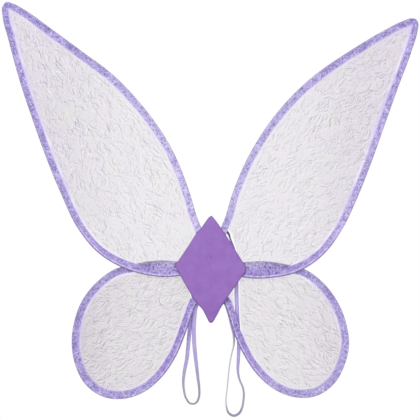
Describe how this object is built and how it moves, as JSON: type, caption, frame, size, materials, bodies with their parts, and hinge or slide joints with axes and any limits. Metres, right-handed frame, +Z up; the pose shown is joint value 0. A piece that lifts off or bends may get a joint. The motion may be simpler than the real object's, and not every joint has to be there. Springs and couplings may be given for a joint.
{
  "type": "fairy wings",
  "caption": "Wearable fairy wings: sheer crackle-film wings on glitter-bound wire rims that fold about a felt diamond hub, with elastic shoulder straps.",
  "frame": {"origin": "centre of the back patch's outer face, which lies against the wearer's back", "axes": "+X across the wings, +Y towards the wearer, +Z up; the show side faces -Y"},
  "size_m": [0.5982, 0.0178, 0.5978],
  "materials": {
    "film": "sheer crackle",
    "binding": "glitter",
    "front_felt": "brushed felt",
    "back_felt": "felt",
    "elastic": "woven elastic",
    "thread": "spun thread",
    "padding": "wadding",
    "sleeve_tape": "cotton tape",
    "board": "matte",
    "wire": "drawn wire",
    "crimp": "crimped"
  },
  "bodies": {
    "harness": {"back_patch": "back_felt", "core_board": "board", "centre_pad": "padding", "front_patch_centre": "front_felt", "centre_seam": "thread", "upper_left_sleeve": "sleeve_tape", "lower_left_sleeve": "sleeve_tape", "upper_right_sleeve": "sleeve_tape", "lower_right_sleeve": "sleeve_tape", "left_strap": "elastic", "right_strap": "elastic", "left_strap_tacks": "thread", "right_strap_tacks": "thread"},
    "left_wings": {"upper_left_wire": "wire", "upper_left_ferrule": "crimp", "upper_left_film": "film", "upper_left_binding": "binding", "lower_left_wire": "wire", "lower_left_ferrule": "crimp", "lower_left_film": "film", "lower_left_binding": "binding", "front_patch_left": "front_felt", "left_binding_tacks": "thread"},
    "right_wings": {"upper_right_wire": "wire", "upper_right_ferrule": "crimp", "upper_right_film": "film", "upper_right_binding": "binding", "lower_right_wire": "wire", "lower_right_ferrule": "crimp", "lower_right_film": "film", "lower_right_binding": "binding", "front_patch_right": "front_felt", "right_binding_tacks": "thread"}
  },
  "joints": [
    {"name": "left_wings_fold", "type": "hinge", "parent": "harness", "child": "left_wings", "pos_m": [-0.013, -0.0069, 0], "axis": [0, 0, 1], "range_deg": [0, 85]},
    {"name": "right_wings_fold", "type": "hinge", "parent": "harness", "child": "right_wings", "pos_m": [0.013, -0.0069, 0], "axis": [0, 0, -1], "range_deg": [0, 85]}
  ]
}
